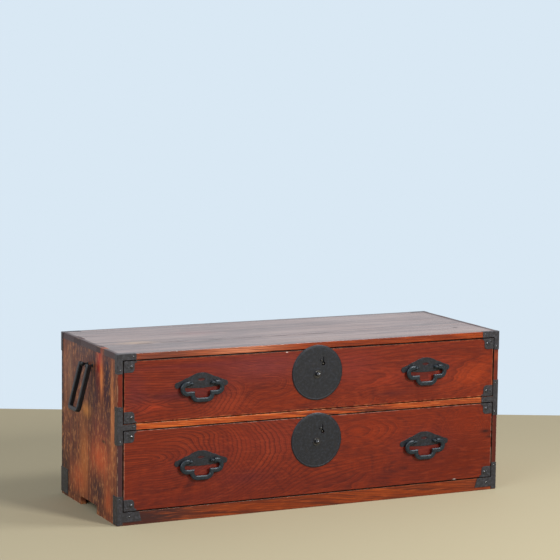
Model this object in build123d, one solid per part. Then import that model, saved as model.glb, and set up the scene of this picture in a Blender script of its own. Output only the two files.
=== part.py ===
from build123d import *
import os
from math import pi

# Clothing chest section: a board case with two full-width drawers, iron corner fittings,
# round lock plates, three-lobed bails and folding carrying loops on both ends.
# Millimetres. X runs along the front, Y from the front to the back, Z up from the floor.
# The origin is on the floor, in the middle of the whole chest with its ironwork.

# Case boards
case_width = 1100
case_depth = 410
side_thickness = 14
front_side_board_depth = 205        # the rest of each side is the rear board
top_thickness = 15.8
top_edge_depth = 8                  # hardwood edge along the front of the top
top_front_board_depth = 148         # from the front face to the joint in the top
back_thickness = 9
lower_back_height = 212
back_floor_gap = 6
bottom_board_thickness = 12
dust_board_thickness = 7
dado_depth = 4

# Edges of the boards
edge_round = 0.8                    # worn edges that show
joint_chamfer = 0.7                 # groove along the joint of two boards, half on each

# Box joint between sides and top, given as depths from the front face
front_finger_start = 93
finger_width = 55
rear_finger_start = 262

# Notch under each side, a hand hold at the floor
notch_start = 145
notch_end = 262
notch_height = 22

# Rails and drawer fronts, from the floor up
bottom_rail_height = 34
bottom_rail_depth = 16
lower_front_height = 203
middle_rail_height = 14.8
middle_rail_depth = 30
upper_front_height = 157
front_gap = 2.6                     # line left all round each drawer front
front_proud = 0.4                   # the drawer faces stand this far in front of the rails

# Drawer boxes
front_thickness = 20
drawer_side_thickness = 10
drawer_bottom_thickness = 7
drawer_side_drop = 6                # the sides end this far below the top of the front
lap_depth = 10                      # rabbet in the back of the front
slide_gap = 0.3
back_stop_gap = 1

# Wooden pegs through the back
peg_radius = 2
peg_length = 30
peg_count = 7
peg_spacing = 150

# Case irons
iron_thickness = 1.2
fold_round = 1                      # outside of the folds
stile_iron_height = 50
rail_iron_length = 50
side_wrap = 16
top_wrap = 12                       # let in flush, so that a second section can stand on top
middle_iron_below = 37
middle_iron_above = 45
bottom_iron_height = 73
bottom_iron_length = 58
bottom_iron_slant = 7               # the arm's lower edge reaches this much further
bottom_arm_low = 9                  # wood shows below the arm, down to the floor
bottom_side_wrap = 28
iron_floor_gap = 2
rear_side_wrap = 10
rear_cap_depth = 20
rear_bottom_wrap = 50
rear_bottom_height = 67
rear_stile_width = 30

# Iron nails
nail_head_radius = 2.6
nail_head_height = 1.1
nail_shank_radius = 1
nail_length = 7
nail_inset = 8
side_nail_inset = 5                 # on the narrow wraps at the sides
arm_nail_out = 30                   # from the case's side to the nail in the bottom arm
fit = 0.05                          # clearance round every nail, peg and rivet

# Irons on the drawer corners
corner_iron_width = 34
corner_iron_height = 29
corner_iron_waist = 28              # its width above the foot
corner_iron_foot = 4
corner_iron_curve = 9               # rounding of the free corner
ring_inset = 9                      # raised ring beside the stud
ring_inset_z = 11
ring_radius = 6
ring_bore = 3.2
ring_height = 0.8
stud_inset = 20
stud_inset_z = 14
stud_radius = 4.6
stud_height = 3.2
stud_shank_radius = 1.6
stud_depth = 14

# Drawer bails and their plates
handle_inset = 209.4                # from the end of the drawer front to the middle of a bail
upper_pivot_drop = 66.6             # from the top of the drawer front to the pivot
lower_pivot_drop = 89.6
pivot_stand = 7.8                   # from the drawer face to the pivot
post_spacing = 59
bail_bar = 11.5
bail_thickness = 7.5
bail_chamfer = 2.2
side_lobe_radius = 12.75
side_lobe_out = 12                  # from the post out to the side lobe's centre
middle_lobe_half = 27
middle_lobe_drop = 42.5             # from the pivot down to the middle of its lowest bar
middle_lobe_corner = 14.5
bail_pin_radius = 2.2
pin_clearance = 0.08
post_head_radius = 4.5
post_shank_radius = 2.6
post_collar_radius = 4.8            # clear of the bail's ends when it is swung out
post_collar_height = 0.8
post_side_gap = 0.6                 # from the post's head to the bar beside it
clench_length = 26
clench_width = 4
clench_thickness = 2
handle_plate_thickness = 1.5
plate_top = 26                      # levels of the plate's outline, from the pivot up
plate_brow = 21.5
plate_shoulder = 20
plate_slope = 13
plate_ear = 4
plate_heel = -11
plate_belly = -10
plate_bottom = -13
plate_crown_half = 6                # half widths of the plate's middle lobe
plate_brow_half = 22
plate_shoulder_half = 26
plate_slope_out = 14.5              # reach of the plate's ears, out from the post
plate_ear_out = 36.5
plate_heel_out = 36.5
plate_belly_out = 15.5
plate_crown_bulge = 0.8             # how far the plate's curved edges bow out or in
plate_slope_bulge = -0.8
plate_ear_bulge = -0.6
plate_tip_bulge = 7
plate_heel_bulge = -1.5
plate_bottom_bulge = 0.6
pierced_width = 22
pierced_height = 7.5
pierced_rise = 9

# Locks
lock_x = 2.5
lock_plate_radius = 72.5
lock_plate_thickness = 1.8
lock_plate_edge = 0.7
upper_lock_drop = 61                # from the top of the drawer front to the plate's centre
lower_lock_drop = 62
boss_drop = 4
boss_height = 13
boss_petal_radius = 10.5
boss_petal_height = 1.4
boss_petals = 16
boss_neck_radius = 3.4
boss_knob_radius = 6.2
boss_shank_radius = 2
boss_depth = 8
keyhole_side = 17.5                 # from the plate's centre
keyhole_rise = 22.5
keyhole_radius = 5
key_slot_width = 2.4
key_slot_top = 18
key_post_radius = 1.5
button_side = 11.5
button_rise = 31.5
button_radius = 3
button_clearance = 0.3
button_proud = 2.8
button_flange_radius = 4.6
button_flange_thickness = 1.4
lock_case_width = 64
lock_case_height = 58
lock_case_top_drop = 6
lock_skin = 9                       # wood left between the drawer face and the lock case
lock_case_wall = 1.5
lock_case_fit = 0.2
bolt_side = -6
bolt_width = 24
bolt_thickness = 4.5
bolt_foot_width = 34
bolt_foot_height = 14
bolt_set_back = 1.6                 # from the front of the lock case to the bolt
bolt_top_gap = 1
bolt_travel = 8
bolt_clearance = 0.3
bolt_mortise_spare = 1
spring_width = 6
spring_thickness = 0.6
spring_foot = 8
spring_tip_drop = 2                 # its tip presses this far below the stud's middle
spring_reach = 13

# Carrying loops
loop_back = 193                     # from the front face to the loop's middle
loop_z = 380
loop_stand = 15
loop_leg_spacing = 58
loop_bar = 10
loop_thickness = 12.5
loop_chamfer = 1.8
loop_drop = 115
loop_corner_radius = 8
loop_pin_radius = 3
loop_post_gap = 0.95                # from the post's head to the leg beside it
loop_post_head = 5.8
loop_post_shank = 3
loop_post_collar = 5.5
loop_pin_spare = 1                  # the pins end this far past the post's head
loop_tilt = 14.5                    # the loops stand out from the sides at rest

# Geometry helpers
over = 1                            # a cutting shape runs this far past what it cuts
quarter_bulge = 1 - 0.5**0.5        # bulge of a quarter arc, as a share of its radius

# Levels and planes that follow from the sizes above
bottom_rail_top = bottom_rail_height
lower_front_bottom = bottom_rail_top + front_gap
lower_front_top = lower_front_bottom + lower_front_height
middle_rail_bottom = lower_front_top + front_gap
middle_rail_top = middle_rail_bottom + middle_rail_height
upper_front_bottom = middle_rail_top + front_gap
upper_front_top = upper_front_bottom + upper_front_height
top_underside = upper_front_top + front_gap
case_height = top_underside + top_thickness

half_width = case_width / 2
inner_x = half_width - side_thickness
drawer_x = inner_x - front_gap
handle_x = drawer_x - handle_inset
front_reach = front_proud + lock_plate_thickness + boss_height
front_y = (front_reach - iron_thickness - case_depth) / 2
back_y = front_y + case_depth
inner_back_y = back_y - back_thickness
face_y = front_y - front_proud
box_back_y = inner_back_y - back_stop_gap

nodes = {}


def block(x0, x1, y0, y1, z0, z1):
    """A board or bar between two corners."""
    return Pos((x0 + x1) / 2, (y0 + y1) / 2, (z0 + z1) / 2) * Box(x1 - x0, y1 - y0, z1 - z0)


def rod_y(radius, x, z, y0, y1):
    """A round bar along Y."""
    return Pos(x, (y0 + y1) / 2, z) * Rot(X=90) * Cylinder(radius, y1 - y0)


def rod_x(radius, y, z, x0, x1):
    """A round bar along X."""
    return Pos((x0 + x1) / 2, y, z) * Rot(Y=90) * Cylinder(radius, x1 - x0)


def mirrored(shape):
    """The same piece on the other side of the chest."""
    return mirror(shape, about=Plane.YZ)


def raised(outline, x, y, z, height):
    """A flat outline stood up facing the front, its back at y, standing height forward."""
    return Pos(x, y, z) * extrude(Plane.XZ * outline, height)


def joined(pieces):
    """Separate solids that share one node."""
    return Compound(children=[solid for piece in pieces for solid in piece.solids()])


def edges_along(board, direction, across, end):
    """A board's edges in one direction, on its lowest (0) or highest (-1) side across, by depth."""
    return board.edges().filter_by(direction).group_by(across)[end].sort_by(Axis.Y)


# ---- case ----

def left_side_front_board():
    joint_y = front_y + front_side_board_depth
    board = block(-half_width, -inner_x, front_y, joint_y, 0, top_underside)
    board = fillet(edges_along(board, Axis.Z, Axis.X, 0)[0], edge_round)
    board = chamfer(edges_along(board, Axis.Z, Axis.X, 0)[-1], joint_chamfer)
    board += block(
        -half_width, -inner_x,
        front_y + front_finger_start, front_y + front_finger_start + finger_width,
        top_underside, case_height,
    )
    return board - side_cuts()


def left_side_rear_board():
    joint_y = front_y + front_side_board_depth
    board = block(-half_width, -inner_x, joint_y, back_y, 0, top_underside)
    board = chamfer(edges_along(board, Axis.Z, Axis.X, 0)[0], joint_chamfer)
    board = fillet(edges_along(board, Axis.Z, Axis.X, 0)[-1], edge_round)
    board += block(
        -half_width, -inner_x,
        front_y + rear_finger_start, front_y + rear_finger_start + finger_width,
        top_underside, case_height,
    )
    return board - side_cuts()


def side_cuts():
    """Floor notch and the two grooves that carry the bottom and the dust board."""
    groove_x = -inner_x - dado_depth
    notch = block(
        -half_width - over, -inner_x + over,
        front_y + notch_start, front_y + notch_end,
        -over, notch_height,
    )
    bottom_groove = block(
        groove_x, -inner_x + over, front_y + bottom_rail_depth, inner_back_y,
        bottom_rail_top - bottom_board_thickness, bottom_rail_top,
    )
    dust_groove = block(
        groove_x, -inner_x + over, front_y + middle_rail_depth, inner_back_y,
        middle_rail_top - dust_board_thickness, middle_rail_top,
    )
    return notch + bottom_groove + dust_groove


def finger_sockets(start):
    """Openings in the top for one finger at each end."""
    socket = block(
        -half_width - over, -inner_x,
        front_y + start, front_y + start + finger_width,
        top_underside - over, case_height + over,
    )
    return socket + mirrored(socket)


def bolt_mortise(rail_bottom):
    """Pocket over a lock bolt, in the underside of a rail."""
    centre = lock_x + bolt_side
    half = bolt_width / 2 + 2 * bolt_clearance
    y0 = face_y + lock_skin + lock_case_fit + bolt_set_back
    return block(
        centre - half, centre + half,
        y0 - 2 * bolt_clearance, y0 + bolt_thickness + 2 * bolt_clearance,
        rail_bottom - over, rail_bottom + bolt_travel + bolt_mortise_spare,
    )


def peg_places():
    """Middle of each peg head: a row into the bottom board and one into the dust board."""
    levels = [
        bottom_rail_top - bottom_board_thickness / 2,
        middle_rail_top - dust_board_thickness / 2,
    ]
    start = -peg_spacing * (peg_count - 1) / 2
    return [(start + peg_spacing * i, z) for z in levels for i in range(peg_count)]


def pegs(radius):
    return [rod_y(radius, x, z, back_y - peg_length, back_y) for x, z in peg_places()]


def build_case():
    nodes["left_side_front_board"] = left_side_front_board()
    nodes["left_side_rear_board"] = left_side_rear_board()
    nodes["right_side_front_board"] = mirrored(nodes["left_side_front_board"])
    nodes["right_side_rear_board"] = mirrored(nodes["left_side_rear_board"])

    top_joint_y = front_y + top_front_board_depth
    edge_back = front_y + top_edge_depth
    edge = block(-half_width, half_width, front_y, edge_back, top_underside, case_height)
    nodes["top_front_edge"] = fillet(edges_along(edge, Axis.X, Axis.Y, 0), edge_round)
    board = block(-half_width, half_width, edge_back, top_joint_y, top_underside, case_height)
    board = chamfer(edges_along(board, Axis.X, Axis.Z, -1)[-1], joint_chamfer)
    board = fillet(edges_along(board, Axis.Y, Axis.Z, -1), edge_round)
    nodes["top_front_board"] = (
        board - finger_sockets(front_finger_start) - bolt_mortise(top_underside)
    )
    board = block(-half_width, half_width, top_joint_y, back_y, top_underside, case_height)
    board = chamfer(edges_along(board, Axis.X, Axis.Z, -1)[0], joint_chamfer)
    board = fillet(edges_along(board, Axis.X, Axis.Z, -1)[-1], edge_round)
    board = fillet(edges_along(board, Axis.Y, Axis.Z, -1), edge_round)
    nodes["top_rear_board"] = board - finger_sockets(rear_finger_start)

    groove_x = inner_x + dado_depth
    rail = block(-inner_x, inner_x, front_y, front_y + bottom_rail_depth, 0, bottom_rail_top)
    nodes["bottom_rail"] = fillet(edges_along(rail, Axis.X, Axis.Y, 0), edge_round)
    rail_back = front_y + middle_rail_depth
    rail = block(-inner_x, inner_x, front_y, rail_back, middle_rail_bottom, middle_rail_top)
    rail = fillet(edges_along(rail, Axis.X, Axis.Y, 0), edge_round)
    nodes["middle_rail"] = rail - bolt_mortise(middle_rail_bottom)
    peg_holes = pegs(peg_radius + fit)
    nodes["bottom_board"] = block(
        -groove_x, groove_x, front_y + bottom_rail_depth, inner_back_y,
        bottom_rail_top - bottom_board_thickness, bottom_rail_top,
    ) - peg_holes
    nodes["dust_board"] = block(
        -groove_x, groove_x, front_y + middle_rail_depth, inner_back_y,
        middle_rail_top - dust_board_thickness, middle_rail_top,
    ) - peg_holes

    back_joint_z = back_floor_gap + lower_back_height
    nodes["back_lower_board"] = block(
        -inner_x, inner_x, inner_back_y, back_y, back_floor_gap, back_joint_z
    ) - peg_holes
    nodes["back_upper_board"] = block(
        -inner_x, inner_x, inner_back_y, back_y, back_joint_z, top_underside
    ) - peg_holes
    nodes["back_pegs"] = joined(pegs(peg_radius))


# ---- irons on the case ----

def folded(iron):
    """Rounds the upright fold at the chest's front corner."""
    fold = iron.edges().filter_by(Axis.Z).sort_by(lambda edge: edge.center().X + edge.center().Y)[0]
    return fillet(fold, fold_round)


def top_left_corner_iron():
    left = -half_width - iron_thickness
    front = front_y - iron_thickness
    top = case_height
    low = top - stile_iron_height
    stile = block(left, -inner_x, front, front_y, low, top)
    arm = block(left, rail_iron_length - half_width, front, front_y, top_underside, top)
    side = block(left, -half_width, front, front_y + side_wrap, low, top)
    cap = block(
        left, rail_iron_length - half_width, front, front_y + top_wrap, top - iron_thickness, top
    )
    return folded(stile + arm + side + cap)


def middle_left_iron():
    left = -half_width - iron_thickness
    front = front_y - iron_thickness
    low = middle_rail_bottom - middle_iron_below
    high = middle_rail_top + middle_iron_above
    stile = block(left, -inner_x, front, front_y, low, high)
    arm = block(
        left, rail_iron_length - half_width, front, front_y, middle_rail_bottom, middle_rail_top
    )
    side = block(left, -half_width, front, front_y + side_wrap, low, high)
    return folded(stile + arm + side)


def bottom_left_corner_iron():
    left = -half_width - iron_thickness
    front = front_y - iron_thickness
    high = iron_floor_gap + bottom_iron_height
    reach = bottom_iron_length - half_width
    stile = block(left, -inner_x, front, front_y, iron_floor_gap, high)
    arm_outline = Polyline(
        (left, bottom_arm_low), (reach + bottom_iron_slant, bottom_arm_low),
        (reach, bottom_rail_top), (left, bottom_rail_top), close=True,
    )
    arm = raised(make_face(arm_outline), 0, front_y, 0, iron_thickness)
    side = block(left, -half_width, front, front_y + bottom_side_wrap, iron_floor_gap, high)
    return folded(stile + arm + side)


def rear_top_iron():
    left = -half_width - iron_thickness
    back = back_y + iron_thickness
    top = case_height
    low = top - stile_iron_height
    stile = block(left, rear_stile_width - half_width, back_y, back, low, top)
    arm = block(left, rail_iron_length - half_width, back_y, back, top_underside, top)
    side = block(left, -half_width, back_y - rear_side_wrap, back, low, top)
    cap = block(
        left, rail_iron_length - half_width,
        back_y - rear_cap_depth, back, top - iron_thickness, top,
    )
    return stile + arm + side + cap


def rear_bottom_iron():
    left = -half_width - iron_thickness
    back = back_y + iron_thickness
    low = back_floor_gap
    high = low + rear_bottom_height
    plate = block(left, rear_bottom_wrap - half_width, back_y, back, low, high)
    side = block(left, -half_width, back_y - rear_bottom_wrap, back, low, high)
    return plate + side


def nail_places():
    """Seat and outward direction of each nail on the left half of the case irons."""
    stile_x = -half_width + side_thickness / 2
    arm_x = rail_iron_length - half_width - nail_inset
    bottom_arm_x = arm_nail_out - half_width
    bottom_arm_z = (bottom_arm_low + bottom_rail_top) / 2
    wrap_y = front_y + side_wrap - side_nail_inset
    bottom_wrap_y = front_y + bottom_side_wrap - nail_inset
    top_low = case_height - stile_iron_height + nail_inset
    middle_low = middle_rail_bottom - middle_iron_below + nail_inset
    middle_high = middle_rail_top + middle_iron_above - nail_inset
    bottom_high = iron_floor_gap + bottom_iron_height - nail_inset
    bottom_low = iron_floor_gap + nail_inset
    top_arm_z = (top_underside + case_height) / 2
    middle_arm_z = (middle_rail_bottom + middle_rail_top) / 2
    rear_wrap_y = back_y - rear_side_wrap / 2
    rear_foot_y = back_y - rear_bottom_wrap + nail_inset
    rear_foot_high = back_floor_gap + rear_bottom_height - nail_inset
    front, side, back = (0, -1), (-1, 0), (0, 1)
    return [
        (stile_x, front_y, top_low, front),
        (arm_x, front_y, top_arm_z, front),
        (stile_x, front_y, middle_low, front),
        (stile_x, front_y, middle_high, front),
        (arm_x, front_y, middle_arm_z, front),
        (stile_x, front_y, bottom_high, front),
        (bottom_arm_x, front_y, bottom_arm_z, front),
        (-half_width, wrap_y, top_low, side),
        (-half_width, wrap_y, top_underside - nail_inset, side),
        (-half_width, wrap_y, middle_low, side),
        (-half_width, wrap_y, middle_high, side),
        (-half_width, bottom_wrap_y, bottom_low, side),
        (-half_width, bottom_wrap_y, bottom_high, side),
        (-half_width, rear_wrap_y, top_underside - nail_inset, side),
        (-half_width, rear_foot_y, bottom_low, side),
        (-half_width, rear_foot_y, rear_foot_high, side),
        (stile_x, back_y, top_low, back),
        (arm_x, back_y, top_arm_z, back),
        (stile_x, back_y, bottom_low, back),
        (stile_x, back_y, rear_foot_high, back),
    ]


def nail(place, shank_radius, head):
    """A domed nail standing on the iron, its shank in the wood behind."""
    x, y, z, outward = place
    turn = {(0, -1): 0, (-1, 0): -90, (0, 1): 180}[outward]
    shape = rod_y(shank_radius, 0, 0, -iron_thickness, nail_length)
    if head:
        curve = (nail_head_radius**2 + nail_head_height**2) / (2 * nail_head_height)
        dome = Pos(0, curve - iron_thickness - nail_head_height, 0) * Sphere(curve)
        shape += dome & rod_y(
            nail_head_radius, 0, 0, -iron_thickness - nail_head_height, -iron_thickness
        )
    return Pos(x, y, z) * Rot(Z=turn) * shape


def build_irons():
    pairs = {
        "top_{}_corner_iron": top_left_corner_iron(),
        "middle_{}_iron": middle_left_iron(),
        "bottom_{}_corner_iron": bottom_left_corner_iron(),
    }
    for name, left in pairs.items():
        nodes[name.format("left")] = left
        nodes[name.format("right")] = mirrored(left)
    rear_top = rear_top_iron()
    rear_bottom = rear_bottom_iron()
    nodes["rear_top_irons"] = joined([rear_top, mirrored(rear_top)])
    nodes["rear_bottom_irons"] = joined([rear_bottom, mirrored(rear_bottom)])
    for name in ("top_front_edge", "top_front_board", "top_rear_board"):
        for iron in (pairs["top_{}_corner_iron"], rear_top):
            nodes[name] = nodes[name] - [iron, mirrored(iron)]

    nails = [nail(place, nail_shank_radius, True) for place in nail_places()]
    nails += [mirrored(one) for one in nails]
    holes = [nail(place, nail_shank_radius + fit, False) for place in nail_places()]
    holes += [mirrored(one) for one in holes]
    inner_nodes = ("bottom_board", "dust_board", "back_pegs")
    for name in [name for name in nodes if name not in inner_nodes]:
        nodes[name] = nodes[name] - holes
    nodes["iron_nails"] = joined(nails)


# ---- forged handles ----

def eye_post(stand, head_radius, shank_radius, hole_radius, collar_radius, depth):
    """A post with a round eye across X. The surface it stands on is y = 0, the eye is in front."""
    post = rod_y(shank_radius, 0, 0, -stand, depth)
    post += Pos(0, -stand, 0) * Sphere(head_radius)
    post += rod_y(collar_radius, 0, 0, -post_collar_height, 0)
    return post - rod_x(hole_radius, -stand, 0, -2 * head_radius, 2 * head_radius)


def clench():
    """The post's legs, bent over on the inside of the drawer front."""
    return block(
        -clench_length / 2, clench_length / 2, 0, clench_thickness,
        -clench_width / 2, clench_width / 2,
    )


def forged(outline, thickness, edge):
    """A flat bar of the given outline, facing the front, with both rims bevelled."""
    bar = extrude(Plane.XZ * outline, thickness / 2, both=True)
    faces = bar.faces().sort_by(Axis.Y)
    return chamfer(faces[0].edges() + faces[-1].edges(), edge)


def bail():
    """Three-lobed bail hanging from the pivot at the local origin."""
    lobe_x = post_spacing / 2 + side_lobe_out
    lobe_side = lobe_x + side_lobe_radius
    lobe_low = -2 * side_lobe_radius
    cusp_x = middle_lobe_half
    bar_start = post_spacing / 2 + post_head_radius + post_side_gap
    bottom = -middle_lobe_drop
    turn_x = middle_lobe_half - middle_lobe_corner
    turn_z = bottom + middle_lobe_corner
    bend = middle_lobe_corner * quarter_bulge
    half = [
        Line((bar_start, 0), (lobe_x, 0)),
        ThreePointArc((lobe_x, 0), (lobe_side, -side_lobe_radius), (lobe_x, lobe_low)),
        Line((lobe_x, lobe_low), (cusp_x, lobe_low)),
        Line((cusp_x, lobe_low), (cusp_x, turn_z)),
        ThreePointArc((cusp_x, turn_z), (cusp_x - bend, bottom + bend), (turn_x, bottom)),
    ]
    outline = trace(Line((turn_x, bottom), (-turn_x, bottom)), bail_bar)
    for part_line in half:
        stroke = trace(part_line, bail_bar)
        outline += stroke + mirror(stroke, about=Plane.YZ)
    for x in (cusp_x, -cusp_x):
        outline += Pos(x, lobe_low) * Rectangle(bail_bar, bail_bar)
    shape = forged(outline, bail_thickness, bail_chamfer)
    pin_end = post_spacing / 2 - post_head_radius
    pin = rod_x(bail_pin_radius, 0, 0, pin_end, bar_start + bail_bar / 2)
    return shape + pin + mirrored(pin)


def bowed(start, end, bulge):
    """Arc between two points that bulges to the left of the way from start to end."""
    dx = end[0] - start[0]
    dy = end[1] - start[1]
    length = (dx**2 + dy**2) ** 0.5
    middle = (
        (start[0] + end[0]) / 2 - dy / length * bulge,
        (start[1] + end[1]) / 2 + dx / length * bulge,
    )
    return ThreePointArc(start, middle, end)


def handle_plate_outline():
    """Cloud-shaped plate with rounded ears and a pierced eye, about the pivot line."""
    post_x = post_spacing / 2
    crown = (plate_crown_half, plate_top)
    brow = (plate_brow_half, plate_brow)
    shoulder = (plate_shoulder_half, plate_shoulder)
    slope = (post_x + plate_slope_out, plate_slope)
    ear = (post_x + plate_ear_out, plate_ear)
    heel = (post_x + plate_heel_out, plate_heel)
    belly = (post_x + plate_belly_out, plate_belly)
    right = [
        Line((0, plate_top), crown),
        bowed(crown, brow, plate_crown_bulge),
        Line(brow, shoulder),
        bowed(shoulder, slope, plate_slope_bulge),
        bowed(slope, ear, plate_ear_bulge),
        bowed(ear, heel, plate_tip_bulge),
        bowed(heel, belly, plate_heel_bulge),
        bowed(belly, (0, plate_bottom), plate_bottom_bulge),
    ]
    left = [mirror(edge, about=Plane.YZ) for edge in right]
    plate = make_face(right + left)
    end = pierced_width / 2
    lens = make_face(
        [
            bowed((-end, 0), (end, 0), pierced_height / 2),
            bowed((end, 0), (-end, 0), pierced_height / 2),
        ]
    )
    return plate - Pos(0, pierced_rise) * lens


def carrying_loop():
    """Square-shouldered loop hanging from the pivot at the local origin."""
    half = loop_leg_spacing / 2
    turn = half - loop_corner_radius
    low = -loop_drop
    bend = loop_corner_radius * quarter_bulge
    leg = Line((half, 0), (half, low + loop_corner_radius))
    corner = ThreePointArc(
        (half, low + loop_corner_radius), (half - bend, low + bend), (turn, low)
    )
    outline = trace(Line((turn, low), (-turn, low)), loop_bar)
    for part_line in (leg, corner):
        stroke = trace(part_line, loop_bar)
        outline += stroke + mirror(stroke, about=Plane.YZ)
    for x in (half, -half):
        outline += Pos(x, 0) * Circle(loop_bar / 2)
    shape = forged(outline, loop_thickness, loop_chamfer)
    pin_end = loop_post_x() - loop_post_head - loop_pin_spare
    pin = rod_x(loop_pin_radius, 0, 0, pin_end, half)
    return shape + pin + mirrored(pin)


def loop_post_x():
    """The posts stand just inside the loop's legs."""
    return (loop_leg_spacing - loop_bar) / 2 - loop_post_gap - loop_post_head


def build_loops():
    """Loops and posts on both sides; each is made facing the front and turned to its side."""
    place = Pos(-half_width, front_y + loop_back, loop_z) * Rot(Z=-90)
    loop = place * Pos(0, -loop_stand, 0) * Rot(X=-loop_tilt) * carrying_loop()
    depth = side_thickness
    post = eye_post(
        loop_stand, loop_post_head, loop_post_shank,
        loop_pin_radius + pin_clearance, loop_post_collar, depth,
    )
    steps = (-loop_post_x(), loop_post_x())
    posts = [place * Pos(step, 0, 0) * post for step in steps]
    posts += [mirrored(one) for one in posts]
    nodes["left_carrying_loop"] = loop
    nodes["right_carrying_loop"] = mirrored(loop)
    nodes["loop_posts"] = joined(posts)
    holes = [
        rod_x(
            loop_post_shank + fit, front_y + loop_back + step, loop_z,
            -half_width - over, -inner_x + over,
        )
        for step in steps
    ]
    for name in ("side_front_board", "side_rear_board"):
        left = nodes["left_" + name] - holes
        nodes["left_" + name] = left
        nodes["right_" + name] = mirrored(left)


# ---- drawers ----

def scalloped(radius, petals):
    """Flower outline: a disc with a ring of round petals."""
    petal = radius * pi / (petals + pi)
    outline = Circle(radius - petal)
    for place in PolarLocations(radius - petal, petals):
        outline += place * Circle(petal)
    return outline


def domed_stud(radius, height, shank_radius, depth):
    """Stud with a domed head standing on y = 0 and its shank behind."""
    curve = (radius**2 + height**2) / (2 * height)
    head = Pos(0, curve - height, 0) * Sphere(curve) & rod_y(radius, 0, 0, -height, 0)
    return head + rod_y(shank_radius, 0, 0, 0, depth)


def corner_iron():
    """Iron for a lower left corner, its corner at the origin, with a raised ring."""
    width, height, curve = corner_iron_width, corner_iron_height, corner_iron_curve
    foot = (width, corner_iron_foot)
    waist = (corner_iron_waist, 2 * corner_iron_foot)
    turn = (corner_iron_waist, height - curve)
    tip = (corner_iron_waist - curve, height)
    outline = make_face(
        [
            Line((0, 0), (width, 0)),
            Line((width, 0), foot),
            bowed(foot, waist, corner_iron_foot * quarter_bulge),
            Line(waist, turn),
            bowed(turn, tip, -curve * quarter_bulge),
            Line(tip, (0, height)),
            Line((0, height), (0, 0)),
        ]
    )
    plate = raised(outline, 0, 0, 0, iron_thickness)
    ring = Circle(ring_radius) - Circle(ring_bore)
    plate += raised(ring, ring_inset, 0, ring_inset_z, iron_thickness + ring_height)
    return plate - rod_y(
        stud_shank_radius + fit, stud_inset, stud_inset_z, -iron_thickness - over, over
    )


def lock_plate(x, z):
    """Round plate with a keyhole and a hole for the stud."""
    plate = rod_y(lock_plate_radius, x, z, face_y - lock_plate_thickness, face_y)
    rim = plate.faces().sort_by(Axis.Y)[0].edges()
    plate = chamfer(rim, lock_plate_edge)
    y0 = face_y - lock_plate_thickness - over
    y1 = face_y + over
    plate -= keyhole(x, z, y0, y1)
    plate -= rod_y(button_radius + button_clearance, x + button_side, z + button_rise, y0, y1)
    return plate - rod_y(boss_shank_radius + fit, x, z - boss_drop, y0, y1)


def keyhole(x, z, y0, y1):
    """Round hole with a slot above it, cut through from y0 to y1."""
    centre_x = x + keyhole_side
    centre_z = z + keyhole_rise
    half = key_slot_width / 2
    slot = block(centre_x - half, centre_x + half, y0, y1, centre_z, centre_z + key_slot_top)
    return rod_y(keyhole_radius, centre_x, centre_z, y0, y1) + slot


def lock_boss(x, z):
    """Flower washer and round knob, forged in one with the shank that holds the plate."""
    centre_z = z - boss_drop
    seat = face_y - lock_plate_thickness
    knob_y = seat - boss_height + boss_knob_radius
    boss = raised(scalloped(boss_petal_radius, boss_petals), x, seat, centre_z, boss_petal_height)
    boss += rod_y(boss_neck_radius, x, centre_z, knob_y, seat)
    boss += Pos(x, knob_y, centre_z) * Sphere(boss_knob_radius)
    return boss + rod_y(boss_shank_radius, x, centre_z, seat, face_y + boss_depth)


def lock_pocket(front_top):
    """Pocket for the lock case in the back of the drawer front, with the bolt's way up."""
    half = lock_case_width / 2
    top = front_top - lock_case_top_drop
    pocket = block(
        lock_x - half, lock_x + half, face_y + lock_skin, face_y + front_thickness + over,
        top - lock_case_height, top,
    )
    return pocket + bolt_way(top - over, front_top + over, bolt_clearance)


def bolt_way(z0, z1, clearance):
    """Slot that the bolt's tongue runs in."""
    centre = lock_x + bolt_side
    half = bolt_width / 2 + clearance
    y0 = face_y + lock_skin + lock_case_fit + bolt_set_back
    return block(
        centre - half, centre + half, y0 - clearance, y0 + bolt_thickness + clearance, z0, z1
    )


def lock_case(front_top, z):
    """Iron tray open to the front, with the slot for the bolt and the post for the key."""
    half = lock_case_width / 2 - lock_case_fit
    wall = lock_case_wall
    top = front_top - lock_case_top_drop - lock_case_fit
    bottom = top - lock_case_height + 2 * lock_case_fit
    y0 = face_y + lock_skin + lock_case_fit
    y1 = face_y + front_thickness
    tray = block(lock_x - half, lock_x + half, y0, y1, bottom, top)
    tray -= block(
        lock_x - half + wall, lock_x + half - wall,
        y0 - over, y1 - wall, bottom + wall, top - wall,
    )
    tray -= bolt_way(top - wall - over, top + over, bolt_clearance)
    return tray + rod_y(
        key_post_radius, lock_x + keyhole_side, z + keyhole_rise, face_y, y1 - wall
    )


def lock_bolt(front_top):
    """Flat bolt with a wider foot; at rest its tongue ends just inside the drawer front."""
    centre = lock_x + bolt_side
    bottom = (
        front_top - lock_case_top_drop - lock_case_height
        + lock_case_fit + lock_case_wall + bolt_clearance
    )
    tongue = bolt_way(bottom, front_top - bolt_top_gap, 0)
    y0 = face_y + lock_skin + lock_case_fit + bolt_set_back
    foot = block(
        centre - bolt_foot_width / 2, centre + bolt_foot_width / 2,
        y0, y0 + bolt_thickness, bottom, bottom + bolt_foot_height,
    )
    return tongue + foot


def button_flange_y():
    """Front of the flange that keeps the stud in, just behind the wood."""
    return face_y + lock_skin + button_clearance


def lock_button(z):
    """Push stud: a pin through plate and wood with a flange inside."""
    x = lock_x + button_side
    centre_z = z + button_rise
    tip = face_y - lock_plate_thickness - button_proud
    flange = button_flange_y()
    pin = rod_y(button_radius, x, centre_z, tip, flange)
    pin = fillet(pin.faces().sort_by(Axis.Y)[0].edges(), button_radius / 2)
    return pin + rod_y(button_flange_radius, x, centre_z, flange, flange + button_flange_thickness)


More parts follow.
